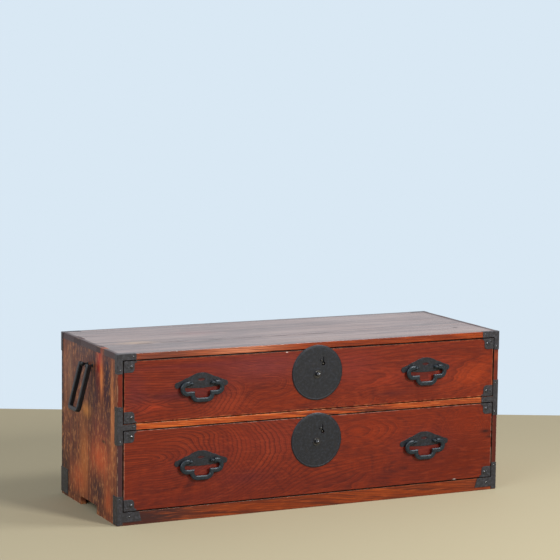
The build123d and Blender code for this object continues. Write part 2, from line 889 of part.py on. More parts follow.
def lock_spring(z):
    """Leaf from the back of the lock case down to the stud's flange."""
    x = lock_x + button_side
    low = z + button_rise - spring_tip_drop
    high = low + spring_reach
    back = face_y + front_thickness - lock_case_wall
    tip = button_flange_y() + button_flange_thickness + button_clearance
    t = spring_thickness
    points = [
        (back, high + spring_foot), (back, high), (tip + t, low),
        (tip, low), (back - t, high), (back - t, high + spring_foot),
    ]
    outline = make_face(Polyline(*points, close=True))
    return Pos(x - spring_width / 2, 0, 0) * extrude(Plane.YZ * outline, spring_width)


def build_drawer(name, front_bottom, front_top, runner_z, pivot_z, lock_z):
    box_bottom = runner_z + slide_gap
    side_bottom = box_bottom + drawer_bottom_thickness
    side_top = front_top - drawer_side_drop
    lap_y = face_y + front_thickness - lap_depth
    inside_x = drawer_x - drawer_side_thickness
    inside_y = face_y + front_thickness

    side = block(-drawer_x, -inside_x, lap_y, box_back_y, side_bottom, side_top)
    nodes[name + "_drawer_left_side"] = side
    nodes[name + "_drawer_right_side"] = mirrored(side)
    bottom = block(-drawer_x, drawer_x, lap_y, box_back_y, box_bottom, side_bottom)
    nodes[name + "_drawer_bottom"] = bottom
    nodes[name + "_drawer_back"] = block(
        -inside_x, inside_x, box_back_y - drawer_side_thickness, box_back_y, side_bottom, side_top
    )

    post = eye_post(
        pivot_stand - handle_plate_thickness, post_head_radius, post_shank_radius,
        bail_pin_radius + pin_clearance, post_collar_radius,
        front_thickness + handle_plate_thickness,
    )
    post += Pos(0, front_thickness + handle_plate_thickness, 0) * clench()
    plate_front = face_y - handle_plate_thickness
    posts = []
    plates = []
    post_holes = []
    for side_name, x in (("left", -handle_x), ("right", handle_x)):
        nodes[name + "_" + side_name + "_bail"] = Pos(x, face_y - pivot_stand, pivot_z) * bail()
        plates.append(
            raised(handle_plate_outline(), x, face_y, pivot_z, handle_plate_thickness)
        )
        for step in (-post_spacing / 2, post_spacing / 2):
            posts.append(Pos(x + step, plate_front, pivot_z) * post)
            post_holes.append(
                rod_y(post_shank_radius + fit, x + step, pivot_z, plate_front - over, inside_y + over)
            )
    nodes[name + "_handle_plates"] = joined([plate - post_holes for plate in plates])
    nodes[name + "_handle_posts"] = joined(posts)

    low_left = Pos(-drawer_x, face_y, front_bottom) * corner_iron()
    high_left = Pos(-drawer_x, face_y, front_top) * mirror(corner_iron(), about=Plane.XY)
    irons = [low_left, high_left, mirrored(low_left), mirrored(high_left)]
    nodes[name + "_corner_irons"] = joined(irons)
    stud_seat = face_y - iron_thickness
    studs = []
    stud_holes = []
    for x in (-drawer_x + stud_inset, drawer_x - stud_inset):
        for z in (front_bottom + stud_inset_z, front_top - stud_inset_z):
            stud = domed_stud(stud_radius, stud_height, stud_shank_radius, stud_depth)
            studs.append(Pos(x, stud_seat, z) * stud)
            stud_holes.append(
                rod_y(stud_shank_radius + fit, x, z, stud_seat, stud_seat + stud_depth + fit)
            )
    nodes[name + "_corner_studs"] = joined(studs)

    nodes[name + "_lock_plate"] = lock_plate(lock_x, lock_z)
    nodes[name + "_lock_boss"] = lock_boss(lock_x, lock_z)
    nodes[name + "_lock_case"] = lock_case(front_top, lock_z)
    nodes[name + "_lock_bolt"] = lock_bolt(front_top)
    nodes[name + "_lock_button"] = lock_button(lock_z)
    nodes[name + "_lock_spring"] = lock_spring(lock_z)

    front = block(-drawer_x, drawer_x, face_y, inside_y, front_bottom, front_top)
    front = fillet(front.faces().sort_by(Axis.Y)[0].edges(), edge_round)
    front -= [side, mirrored(side), bottom]
    front -= lock_pocket(front_top)
    front -= keyhole(lock_x, lock_z, face_y - over, inside_y)
    front -= rod_y(
        button_radius + button_clearance, lock_x + button_side, lock_z + button_rise,
        face_y - over, inside_y,
    )
    front -= rod_y(
        boss_shank_radius + fit, lock_x, lock_z - boss_drop, face_y - over, face_y + boss_depth
    )
    nodes[name + "_drawer_front"] = front - post_holes - stud_holes


build_case()
build_irons()
build_loops()
build_drawer(
    "upper", upper_front_bottom, upper_front_top, middle_rail_top,
    upper_front_top - upper_pivot_drop, upper_front_top - upper_lock_drop,
)
build_drawer(
    "lower", lower_front_bottom, lower_front_top, bottom_rail_top,
    lower_front_top - lower_pivot_drop, lower_front_top - lower_lock_drop,
)

os.makedirs("parts", exist_ok=True)
for node, shape in nodes.items():
    export_step(shape, "parts/" + node + ".step")
print(len(nodes), "nodes written")
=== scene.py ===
import math

import bpy
import numpy as np
from mathutils import Matrix, Vector


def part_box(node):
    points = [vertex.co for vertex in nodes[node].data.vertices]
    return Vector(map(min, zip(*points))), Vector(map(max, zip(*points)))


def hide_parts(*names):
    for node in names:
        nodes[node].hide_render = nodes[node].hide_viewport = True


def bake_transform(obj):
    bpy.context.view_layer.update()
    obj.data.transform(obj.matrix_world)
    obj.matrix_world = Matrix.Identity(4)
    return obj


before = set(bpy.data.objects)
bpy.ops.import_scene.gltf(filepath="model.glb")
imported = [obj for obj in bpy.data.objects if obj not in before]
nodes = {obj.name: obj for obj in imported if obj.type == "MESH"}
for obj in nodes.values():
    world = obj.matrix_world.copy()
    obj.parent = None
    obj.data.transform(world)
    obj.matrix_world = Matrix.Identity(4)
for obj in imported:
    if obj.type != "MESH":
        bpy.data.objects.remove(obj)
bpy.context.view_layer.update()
print("frame loaded:", len(nodes), "pieces")


class Wire:
    # one socket of a material; an expression on wires adds its Math nodes
    def __init__(self, finish, socket):
        self.finish = finish
        self.socket = socket

    def math(self, operation, *values):
        return self.finish.node("ShaderNodeMath", {"operation": operation}, (self, *values))

    def __add__(self, other):
        return self.math("ADD", other)

    def __sub__(self, other):
        return self.math("SUBTRACT", other)

    def __rsub__(self, other):
        return self.finish.node("ShaderNodeMath", {"operation": "SUBTRACT"}, (other, self))

    def __mul__(self, other):
        return self.math("MULTIPLY", other)

    def __truediv__(self, other):
        return self.math("DIVIDE", other)

    def __pow__(self, other):
        return self.math("POWER", other)

    __radd__ = __add__
    __rmul__ = __mul__

    def least(self, other):
        return self.math("MINIMUM", other)

    def most(self, other):
        return self.math("MAXIMUM", other)


class Sheet:
    # the nodes of one material or of the studio; node() is the one way any node gets in
    def __init__(self, tree, place):
        self.tree = tree
        self.tree.nodes.clear()
        spot = self.node("ShaderNodeTexCoord", {}, {}, place)
        self.split = self.node("ShaderNodeSeparateXYZ", {}, [spot]).socket.node

    def node(self, kind, settings, values, output=0):
        made = self.tree.nodes.new(kind)
        for key, value in settings.items():
            if key == "stops":
                ramp = made.color_ramp.elements
                while len(ramp) < len(value):
                    ramp.new(1.0)
                for element, (position, colour) in zip(ramp, value):
                    element.position = position
                    element.color = (*colour, 1.0)
            else:
                setattr(made, key, value)
        pairs = values.items() if isinstance(values, dict) else enumerate(values)
        for key, value in pairs:
            if isinstance(value, Wire):
                self.tree.links.new(value.socket, made.inputs[key])
            else:
                made.inputs[key].default_value = value
        return Wire(self, made.outputs[output])

    def axis(self, letter):
        return Wire(self, self.split.outputs["xyz".index(letter)])

    def vector(self, a, b, c):
        return self.node("ShaderNodeCombineXYZ", {}, [a, b, c])

    def noise(self, a, b, c, detail=2.0, rough=0.5):
        values = {"Vector": self.vector(a, b, c), "Scale": 1.0, "Detail": detail, "Roughness": rough}
        return self.node("ShaderNodeTexNoise", {}, values, "Fac")

    def step(self, value, low, high):
        # 0 below low, 1 above high, smooth between; low may be above high
        values = {"Value": value, "From Min": low, "From Max": high}
        return self.node("ShaderNodeMapRange", {"interpolation_type": "SMOOTHSTEP"}, values)

    def within(self, value, low, high, soft):
        return self.step(value, low - soft, low + soft) * self.step(value, high + soft, high - soft)

    def spot(self, first, second, centre, half):
        # 1 at the centre and fading to 0 like a bell; half holds the bell's two half widths
        a = (first - centre[0]) / half[0]
        b = (second - centre[1]) / half[1]
        return (0 - a * a - b * b).math("EXPONENT")

    def mix(self, factor, first, second):
        # factor 0 gives the first colour; colours are wires or triples
        sockets = [c if isinstance(c, Wire) else (*c, 1.0) for c in (first, second)]
        settings = {"data_type": "RGBA", "clamp_factor": True}
        return self.node("ShaderNodeMix", settings, {0: factor, 6: sockets[0], 7: sockets[1]}, 2)

    def ramp(self, value, stops):
        return self.node("ShaderNodeValToRGB", {"stops": stops}, [value], "Color")

    def bump(self, height, depth, rounding=0.0):
        # height 0 to 1 stands for depth metres, and rounding softens the edges of the shape itself
        values = {"Height": height, "Distance": depth, "Strength": 1.0}
        if rounding:
            values["Normal"] = self.node("ShaderNodeBevel", {"samples": 6}, {"Radius": rounding})
        return self.node("ShaderNodeBump", {}, values)

    def finishWith(self, kind, shader):
        output = self.tree.nodes.new(kind)
        self.tree.links.new(shader.socket, output.inputs["Surface"])


class Finish(Sheet):
    def __init__(self, name):
        self.material = bpy.data.materials.new(name)
        self.material.use_nodes = True
        super().__init__(self.material.node_tree, "Object")

    def surface(self, **sockets):
        values = {name.replace("_", " "): value for name, value in sockets.items()}
        self.finishWith("ShaderNodeOutputMaterial", self.node("ShaderNodeBsdfPrincipled", {}, values))
        return self.material


def shade(red, green, blue):
    # a screen colour, 0 to 255, as the light that the shader works with
    return tuple(
        c / 12.92 if c <= 0.04045 else ((c + 0.055) / 1.055) ** 2.4
        for c in (red / 255, green / 255, blue / 255)
    )


def paint(material, *names):
    for name in names:
        slots = nodes[name].data.materials
        slots.clear()
        slots.append(material)


def variant(look, **changes):
    return {**look, **changes}


def edgeDistance(finish, name):
    # how far a point on the board's own box is from the nearest edge. On a face one of the distances to
    # the box's sides is nothing, so the middle one of the three is the distance to the edge.
    low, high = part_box(name)
    first, second, third = (
        (finish.axis(letter) - low[index]).least(high[index] - finish.axis(letter))
        for index, letter in enumerate("xyz")
    )
    return first.least(second).most(first.most(second).least(third))


# colours go from the pale early wood to the dark late wood; worn is bare wood on rubbed edges
lacquerLook = {
    "pale": shade(129, 46, 20),
    "middle": shade(105, 34, 16),
    "dark": shade(66, 22, 19),
    "worn": shade(176, 104, 66),
    "wornWidth": 0.0018,
    "wornShare": 0.35,
    "wornAbove": -1.0,       # the edges are rubbed only above this height
    "seam": 0.0011,          # width of the dark seam along the edges: old soot and painted shade
    "seamAbove": -1.0,       # which is there only above this height
    "soot": 0.9,             # strength of the soot and painted shade, along the edges and behind the front face
    "sootFrom": (0.0002, 0.0012),   # how far behind that face it starts, and where it is full
    "sootBelow": 1.0,        # and it is there only below this height
    "sootAndShadeColour": shade(20, 11, 10),
    "lineSpacing": 0.0088,
    "lineDepth": 0.42,
    "fineDepth": 0.22,       # of the fine lines between
    "slope": 0.03,           # fall of the lines along the board
    "wander": 7.0,           # how many lines the slow wander moves a line
    "wanderLong": 2.2,       # wander per metre along the grain
    "wanderWide": 8.0,       # wander per metre across it
    "wobble": 0.9,           # how many lines the quick wobble moves a line
    # the heart of the tree: its line across the board, from where to where along it dives, and how
    # deep. Far off the board it leaves the lines straight, and on the board they close in nested arches.
    "heart": (-2.0, 0.0, 1.0, 0.0),
    "climb": (0.0, 0.0),     # from where along, and how steeply, the heart's line climbs
    "swirls": [],            # along, across, their half widths, lines that the swirl lifts
    "stains": [],            # along, across, their half widths, colour, strength: mostly stains, and a few marks of painted shade and painted reflection
    "streakWide": 0.55,      # streaks per line
    "streaks": 0.45,
    "patches": 0.6,
    "dashes": 0.12,          # short pale and dark strokes along the grain
    "dash": shade(150, 62, 34),
    "dashSize": (34.0, 260.0),      # strokes per metre along and across
    "darkDashes": 0.8,       # strength of the dark ones, as a share of the pale ones
    "pores": 0.35,
    "fibre": (16.0, 480.0, 0.5),    # fibres per metre along and across, and their strength
    "roughness": 0.38,
    "specular": 0.12,
    "coat": 0.16,
    "coatRoughness": 0.16,
    "depth": 0.00012,        # of the grain's relief
}
# painted shade in the keyhole: where it lies across the drawer, its half size, colour and strength
keyhole = {"x": 0.020, "half": 0.014, "colour": shade(14, 10, 10), "strength": 3.0}
handleSootAndShade = {
    "x": 0.324,
    "around": (-0.012, 0.080, 0.040, shade(92, 32, 36), 0.55),   # height from the pivot, half sizes
    # the slot: old soot and painted shade where the wood shows through the plate
    "slot": (0.009, 0.018, 0.008, shade(58, 30, 34), 2.0),
}


def keyholeShade(height):
    # painted shade: the wood is painted dark where it shows through the keyhole of the lock plate
    half = keyhole["half"]
    return (keyhole["x"], height, half, half, keyhole["colour"], keyhole["strength"])


def handleSootAndShadeSpots(pivot):
    # and dark with old soot about the handles; in the pierced slot of their plates it is darkest, soot
    # and painted shade
    return [
        (side * handleSootAndShade["x"], pivot + handleSootAndShade[key][0], *handleSootAndShade[key][1:])
        for side in (-1, 1) for key in ("around", "slot")
    ]


upperFrontLook = variant(
    lacquerLook,
    heart=(0.302, -0.40, -0.14, 0.080), climb=(-0.02, 0.15),
    seam=0.0018, seamAbove=0.300, lineSpacing=0.0064, lineDepth=0.46, fineDepth=0.26, wander=4.0,
    wobble=1.2, slope=0.05, fibre=(26.0, 280.0, 0.9), dashes=0.18, dashSize=(26.0, 200.0),
    swirls=[
        (-0.130, 0.345, 0.080, 0.034, -4.0),
        (0.095, 0.268, 0.030, 0.013, 4.0),
        (0.180, 0.284, 0.090, 0.022, 2.6),
        (0.420, 0.300, 0.140, 0.030, -3.0),
        (-0.455, 0.305, 0.050, 0.020, 3.0),
    ],
    stains=[
        # a purplish patch left of the lock: partly the wood's tone, partly a painted reflection of the
        # room
        (-0.150, 0.382, 0.140, 0.036, shade(108, 47, 49), 0.72),
        (-0.400, 0.322, 0.110, 0.012, shade(66, 24, 32), 0.70),
        (-0.460, 0.296, 0.034, 0.010, shade(158, 54, 28), 0.45),
        (-0.250, 0.290, 0.060, 0.022, shade(146, 56, 30), 0.50),
        (-0.330, 0.395, 0.180, 0.007, shade(84, 30, 38), 0.50),
        (-0.505, 0.340, 0.030, 0.050, shade(96, 38, 42), 0.50),
        (0.110, 0.370, 0.080, 0.050, shade(114, 42, 38), 0.55),
        (0.225, 0.286, 0.050, 0.007, shade(60, 22, 24), 0.70),
        (0.455, 0.320, 0.085, 0.030, shade(156, 58, 22), 0.55),
        (0.200, 0.325, 0.060, 0.020, shade(140, 48, 26), 0.45),
        (0.300, 0.402, 0.200, 0.010, shade(94, 32, 22), 0.40),
        (-0.085, 0.4138, 0.0024, 0.0009, shade(214, 196, 186), 1.6),
        keyholeShade(0.3781),
        *handleSootAndShadeSpots(0.350),
    ],
)
lowerFrontLook = variant(
    lacquerLook,
    heart=(0.165, -0.50, 0.02, 0.160), climb=(0.10, 0.06),
    worn=shade(206, 160, 142), seam=0.0009, wornAbove=0.060, wornWidth=0.0013, wornShare=0.42,
    lineSpacing=0.0060, lineDepth=0.52, fineDepth=0.24, wander=3.5, wobble=1.2,
    fibre=(26.0, 280.0, 0.9), dashes=0.18, dashSize=(26.0, 200.0),
    swirls=[
        (0.462, 0.176, 0.070, 0.042, 13.0),
        (0.130, 0.195, 0.100, 0.045, -4.5),
        (0.250, 0.075, 0.150, 0.030, 4.0),
        (-0.330, 0.225, 0.100, 0.030, -3.0),
    ],
    stains=[
        (-0.190, 0.095, 0.080, 0.022, shade(82, 28, 32), 0.60),
        (-0.200, 0.190, 0.090, 0.035, shade(128, 44, 26), 0.40),
        (-0.060, 0.190, 0.120, 0.060, shade(120, 44, 34), 0.45),
        (0.080, 0.065, 0.240, 0.022, shade(84, 26, 20), 0.55),
        (-0.300, 0.055, 0.160, 0.018, shade(86, 28, 24), 0.50),
        (0.465, 0.178, 0.040, 0.020, shade(134, 46, 16), 0.45),
        (0.160, 0.190, 0.090, 0.030, shade(130, 42, 16), 0.40),
        (0.440, 0.100, 0.120, 0.070, shade(88, 24, 6), 0.75),
        (0.450, 0.200, 0.080, 0.040, shade(110, 32, 8), 0.50),
        (-0.490, 0.080, 0.050, 0.050, shade(96, 34, 24), 0.45),
        (0.515, 0.163, 0.014, 0.005, shade(34, 16, 16), 1.0),
        (0.528, 0.148, 0.010, 0.004, shade(34, 16, 16), 0.90),
        (-0.5318, 0.150, 0.0012, 0.075, shade(166, 104, 74), 0.50),
        (0.420, 0.0382, 0.0034, 0.0009, shade(214, 200, 190), 1.6),
        keyholeShade(0.2001),
        *handleSootAndShadeSpots(0.150),
    ],
)
edgeLook = variant(
    lacquerLook,
    pale=shade(206, 108, 46), middle=shade(166, 74, 34), dark=shade(98, 40, 26), worn=shade(206, 140, 84),
    seam=0.0009, wornWidth=0.0014, lineSpacing=0.0050, lineDepth=0.55, slope=0.09,
    streaks=1.1, patches=0.9, dashes=0.40, dash=shade(206, 114, 56), dashSize=(18.0, 300.0),
)
middleRailLook = variant(
    edgeLook,
    pale=shade(196, 96, 36), middle=shade(150, 61, 24), dark=shade(80, 32, 24), worn=shade(224, 150, 96),
    # its painted gap shade starts deeper behind the face, so the gap above the rail reads thin
    seam=0.0, wornShare=0.55, streaks=1.5, sootFrom=(0.003, 0.006),
    stains=[(0.460, 0.2475, 0.200, 0.040, shade(112, 46, 26), 0.45)],
)
topEdgeLook = variant(
    edgeLook,
    pale=shade(158, 68, 26), middle=shade(120, 46, 20), dark=shade(74, 30, 22), worn=shade(168, 112, 78),
    # painted shade in the gap only below the top's upper face
    sootBelow=0.4325, dash=shade(160, 72, 32),
    stains=[
        (-0.440, 0.427, 0.120, 0.040, shade(112, 62, 48), 0.90),
        (-0.210, 0.428, 0.100, 0.020, shade(196, 124, 90), 0.80),
    ],
)
bottomLook = variant(
    edgeLook,
    pale=shade(148, 64, 20), middle=shade(114, 44, 16), dark=shade(66, 30, 22), worn=shade(150, 96, 62),
    dash=shade(166, 78, 34),
    stains=[
        # darker at the left end, next to the corner iron
        (-0.480, 0.020, 0.150, 0.040, shade(54, 34, 34), 1.10),
        (0.500, 0.020, 0.060, 0.030, shade(86, 38, 28), 0.50),
    ],
)
sideLook = variant(
    lacquerLook,
    pale=shade(162, 92, 56), middle=shade(108, 58, 44), dark=shade(46, 28, 30), worn=shade(176, 142, 112),
    seam=0.0, wornWidth=0.0020, wornShare=0.50, lineSpacing=0.0110, lineDepth=0.35, fineDepth=0.15,
    wander=2.0, wanderLong=1.2, slope=0.01, streakWide=1.6, streaks=1.0, patches=0.9, dashes=0.55,
    dash=shade(214, 144, 90), dashSize=(64.0, 200.0), darkDashes=0.30, pores=0.5, roughness=0.46,
    coat=0.08, depth=0.0002,
    stains=[
        # along is up the side and across is from the front back
        (0.330, 0.147, 0.085, 0.020, shade(164, 118, 88), 0.70),
        (0.310, 0.184, 0.060, 0.006, shade(164, 118, 88), 0.60),
        # darker down the rear edge
        (0.210, 0.2070, 0.400, 0.007, shade(44, 36, 38), 1.40),
        (0.415, 0.050, 0.026, 0.100, shade(80, 60, 64), 0.90),
        (0.345, 0.070, 0.060, 0.045, shade(88, 62, 62), 0.60),
        (0.395, -0.072, 0.045, 0.019, shade(184, 60, 46), 1.10),
        (0.352, -0.087, 0.045, 0.010, shade(240, 140, 80), 1.30),
        (0.350, -0.058, 0.045, 0.010, shade(112, 34, 32), 1.00),
        (0.355, -0.124, 0.090, 0.022, shade(60, 38, 50), 1.20),
        (0.300, -0.040, 0.050, 0.040, shade(80, 44, 48), 1.00),
        (0.245, -0.120, 0.050, 0.030, shade(88, 46, 44), 0.80),
        (0.070, 0.170, 0.060, 0.016, shade(66, 42, 36), 0.80),
        (0.270, -0.163, 0.120, 0.009, shade(216, 132, 78), 1.00),
        (0.257, 0.026, 0.016, 0.032, shade(226, 146, 72), 1.00),
        (0.225, -0.070, 0.035, 0.060, shade(128, 56, 48), 0.70),
        (0.120, 0.040, 0.085, 0.032, shade(198, 116, 58), 0.90),
        (0.150, -0.070, 0.045, 0.070, shade(214, 96, 52), 0.90),
        (0.070, 0.085, 0.040, 0.055, shade(196, 92, 50), 0.85),
        (0.062, -0.055, 0.038, 0.050, shade(72, 42, 42), 1.00),
        (0.050, -0.135, 0.040, 0.022, shade(190, 88, 48), 0.80),
        (0.050, 0.184, 0.060, 0.030, shade(50, 40, 36), 0.95),
        (0.015, 0.000, 0.012, 0.200, shade(78, 46, 40), 0.60),
        (0.170, 0.130, 0.060, 0.055, shade(112, 56, 44), 0.60),
        (0.198, -0.103, 0.004, 0.012, shade(46, 28, 26), 1.00),
    ],
)
topLook = variant(
    lacquerLook,
    pale=shade(124, 98, 88), middle=shade(82, 58, 56), dark=shade(38, 26, 30), worn=shade(120, 90, 80),
    seam=0.0, wornWidth=0.0024, lineSpacing=0.0120, lineDepth=0.40, fineDepth=0.10, wander=5.0,
    slope=0.0, streakWide=0.5, streaks=1.4, patches=1.1, dashes=0.30, dash=shade(150, 122, 106),
    dashSize=(16.0, 120.0), pores=0.3, roughness=0.30, coat=0.92, coatRoughness=0.16,
    stains=[(-0.230, 0.060, 0.060, 0.040, shade(120, 52, 44), 0.50)],
)
softLook = variant(
    lacquerLook,
    pale=shade(190, 160, 122), middle=shade(164, 132, 96), dark=shade(112, 84, 60),
    worn=shade(196, 170, 134), lineSpacing=0.0075, lineDepth=0.45, wander=4.0, streaks=0.6,
    pores=0.15, roughness=0.62, specular=0.25, coat=0.0, soot=0.0, seam=0.0,
)
# what all the wood shares: sizes are repeats per metre along, across and through the board, and each
# From says where on its noise or on its line a mark starts and where it is full
woodMarks = {
    "seedShift": 7.31,
    "wanderDeep": 6.0,
    "wobbleSize": (10.0, 44.0),
    "follow": 2.0,                  # how far the fibres and pores follow the lines
    "lateFrom": (0.40, 0.90),       # the dark late wood of each line, and its sharp end
    "lateEnd": (1.0, 0.94),
    "fineLines": 3.0,               # to each line
    "fineFrom": (0.15, 0.42),
    "patchSize": (2.6, 0.10, 3.0),  # the second one per line
    "boldFrom": (0.36, 0.64),
    "boldGain": 1.25,               # lines are bolder in the pale patches
    "boldLeast": 0.25,
    "streakSize": (1.6, 40.0),      # along and through; streakWide is across
    "poreSize": (60.0, 1400.0),     # along, and across and through
    "poreFrom": (0.60, 0.70),
    "poreShade": 0.3,
    "dashDeep": 30.0,
    "dashFrom": (0.52, 0.70),
    "darkDashFrom": (0.47, 0.30),
    "streakTone": 1.8,
    "patchTone": 1.6,
    "tones": (0.10, 0.47, 0.88),    # where dark, middle and pale lie
    "stainAndPaintedLightTone": 0.45,              # stains and painted marks are this strong in the darkest wood and grow with the tone
    "relief": (0.5, 0.5, 0.15),     # fibres up, pores and late wood down
}


def grain(finish, look, axes, seed):
    # axes names the directions along, across and through the board. The lines are level lines of a slow
    # field: a slope across the board, slow wander, and a bell-shaped hill or hollow for each swirl.
    along, across, through = (finish.axis(letter) for letter in axes)
    marks = woodMarks
    shift = seed * marks["seedShift"]
    wander = finish.noise(
        along * look["wanderLong"] + shift, across * look["wanderWide"],
        through * marks["wanderDeep"] + shift, detail=3.0, rough=0.45
    )
    line, start, end, depth = look["heart"]
    dive = finish.step(along, start, end) * depth
    climbStart, climb = look["climb"]
    aside = across - line - (along - climbStart).most(0.0) * climb
    reach = (aside * aside + dive * dive) ** 0.5
    level = (reach + along * look["slope"]) / look["lineSpacing"] + wander * look["wander"]
    for *place, lines in look["swirls"]:
        level = level + finish.spot(along, across, place[:2], place[2:]) * lines
    wobbleLong, wobbleWide = marks["wobbleSize"]
    level = level + finish.noise(along * wobbleLong, across * wobbleWide, shift) * look["wobble"]
    turn = level.math("FRACT")
    late = finish.step(turn, *marks["lateFrom"]) * finish.step(turn, *marks["lateEnd"])
    fine = finish.step((level * marks["fineLines"]).math("PINGPONG", 0.5), *marks["fineFrom"])
    patchLong, patchWide, patchDeep = marks["patchSize"]
    patch = finish.noise(
        along * patchLong + shift, level * patchWide, through * patchDeep, detail=3.0, rough=0.55
    )
    streakLong, streakDeep = marks["streakSize"]
    streak = finish.noise(
        along * streakLong + shift, level * look["streakWide"], through * streakDeep,
        detail=4.0, rough=0.62
    )
    fibreLong, fibreWide, fibreStrength = look["fibre"]
    fibre = finish.noise(
        along * fibreLong, across * fibreWide + level * marks["follow"], through * fibreWide + shift,
        detail=3.0, rough=0.62
    )
    poreLong, poreWide = marks["poreSize"]
    pore = finish.noise(
        along * poreLong + shift, across * poreWide + level * marks["follow"], through * poreWide,
        detail=1.0
    )
    pore = finish.step(pore, *marks["poreFrom"])
    dashLong, dashWide = look["dashSize"]
    dash = finish.noise(along * dashLong + shift, across * dashWide, through * marks["dashDeep"])
    tone = (
        (streak - 0.5) * look["streaks"] * marks["streakTone"]
        + (fibre - 0.5) * fibreStrength
        + (patch - 0.5) * look["patches"] * marks["patchTone"]
        + 0.5
    )
    colour = finish.ramp(tone, list(zip(marks["tones"], (look["dark"], look["middle"], look["pale"]))))
    # stains, and the painted shade and painted reflection listed among them
    for *place, stain, strength in look["stains"]:
        mask = finish.spot(along, across, place[:2], place[2:])
        colour = finish.mix(mask * strength * (marks["stainAndPaintedLightTone"] + tone), colour, stain)
    bold = finish.step(patch, *marks["boldFrom"]) * marks["boldGain"] + marks["boldLeast"]
    lines = (late * look["lineDepth"]).most(fine * look["fineDepth"]) * bold
    colour = finish.mix(lines, colour, look["dark"])
    paleDash = finish.step(dash, *marks["dashFrom"]) * look["dashes"]
    darkDash = finish.step(dash, *marks["darkDashFrom"]) * look["dashes"] * look["darkDashes"]
    colour = finish.mix(darkDash, finish.mix(paleDash, colour, look["dash"]), look["dark"])
    poreColour = tuple(channel * marks["poreShade"] for channel in look["dark"])
    colour = finish.mix(pore * look["pores"], colour, poreColour)
    fibreUp, poreDown, lateDown = marks["relief"]
    height = fibre * fibreUp - pore * poreDown - late * lateDown
    return {"colour": colour, "height": height, "streak": streak, "late": late}


rubbedMarks = {
    "breakSize": 70.0,           # breaks per metre
    "breakFrom": (0.40, 0.62),
    "wornFull": 0.25,            # the bare wood is full at this share of its width
    "wornFade": 0.004,           # height over which the bare wood starts, and the seam
    "seamFade": 0.002,
    "seamFull": 0.6,
    "gapShadeFade": 0.001,
}


def rubbedEdges(finish, name, look, colour):
    # bare wood shows in broken lines along the edges, inside a dark seam of old soot and painted shade
    # where there is one
    marks = rubbedMarks
    seam, width = look["seam"], look["wornWidth"]
    distance = edgeDistance(finish, name)
    spread = (finish.axis(letter) * marks["breakSize"] for letter in "xyz")
    breaks = finish.noise(*spread, detail=3.0, rough=0.6)
    z, start = finish.axis("z"), look["wornAbove"]
    worn = finish.step(distance, seam + width, seam + width * marks["wornFull"])
    worn = worn * finish.step(z, start, start + marks["wornFade"])
    worn = worn * finish.step(breaks, *marks["breakFrom"]) * look["wornShare"]
    colour = finish.mix(worn, colour, look["worn"])
    if seam:
        start = look["seamAbove"]
        # the seam: old soot and painted shade, so that the gap beside the edge reads as a dark line
        seamSootAndShade = finish.step(distance, seam, seam * marks["seamFull"])
        seamSootAndShade = seamSootAndShade * finish.step(z, start, start + marks["seamFade"])
        colour = finish.mix(seamSootAndShade * look["soot"], colour, look["sootAndShadeColour"])
    return colour


def paintedShadeBehind(finish, name, look, colour):
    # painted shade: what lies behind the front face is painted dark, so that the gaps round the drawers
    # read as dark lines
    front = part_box(name)[0].y
    below, fade = look["sootBelow"], rubbedMarks["gapShadeFade"]
    soot = finish.step(finish.axis("y"), *(front + depth for depth in look["sootFrom"]))
    soot = soot * finish.step(finish.axis("z"), below + fade, below - fade)
    return finish.mix(soot * look["soot"], colour, look["sootAndShadeColour"])


def woodSurface(finish, look, colour, height, coat=None):
    return finish.surface(
        Base_Color=colour, Roughness=look["roughness"], Specular_IOR_Level=look["specular"],
        Coat_Weight=look["coat"] if coat is None else coat, Coat_Roughness=look["coatRoughness"],
        Normal=finish.bump(height, look["depth"]),
    )


def plainBoard(name, axes, look, seed):
    finish = Finish(name + "Wood")
    wood = grain(finish, look, axes, seed)
    colour = rubbedEdges(finish, name, look, wood["colour"])
    if look["soot"]:
        colour = paintedShadeBehind(finish, name, look, colour)
    paint(woodSurface(finish, look, colour, wood["height"]), name)


def drawerFront(name, look, backLook, seed):
    # lacquered in front, and bare wood on the back, which is inside the drawer
    finish = Finish(name + "Wood")
    wood = grain(finish, look, "xzy", seed)
    colour = paintedShadeBehind(finish, name, look, rubbedEdges(finish, name, look, wood["colour"]))
    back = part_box(name)[1].y
    inside = finish.step(finish.axis("y"), back - backLook["skin"], back - backLook["skin"] / 2)
    colour = finish.mix(inside, colour, grain(finish, backLook, "xzy", seed)["colour"])
    coat = inside * (backLook["coat"] - look["coat"]) + look["coat"]
    paint(woodSurface(finish, look, colour, wood["height"], coat), name)


frontBackLook = variant(softLook, skin=0.0008)      # the bare wood reaches this far in from the back
drawerFront("upper_drawer_front", upperFrontLook, frontBackLook, 1.0)
drawerFront("lower_drawer_front", lowerFrontLook, frontBackLook, 2.3)
plainBoard("middle_rail", "xzy", middleRailLook, 4.4)
plainBoard("bottom_rail", "xzy", bottomLook, 5.2)
print("fronts and rails painted")


topEdgeMarks = {
    "upward": (0.4340, 0.4348),  # the height where the front ends and the upper face begins
    "tint": 0.6,
    "coatLoss": 0.20,            # it shines a little less than the top behind it
}


def topEdgeBoard(name, look, topLook, marks, seed):
    # the hardwood edge shows its own colour in front and is stained and polished with the top above
    finish = Finish(name + "Wood")
    wood = grain(finish, look, "xzy", seed)
    upward = finish.step(finish.axis("z"), *marks["upward"])
    colour = finish.mix(upward * marks["tint"], wood["colour"], topLook["middle"])
    colour = paintedShadeBehind(finish, name, look, colour)
    coat = upward * (topLook["coat"] - marks["coatLoss"] - look["coat"]) + look["coat"]
    paint(woodSurface(finish, look, colour, wood["height"], coat), name)


topEdgeBoard("top_front_edge", topEdgeLook, topLook, topEdgeMarks, 3.1)


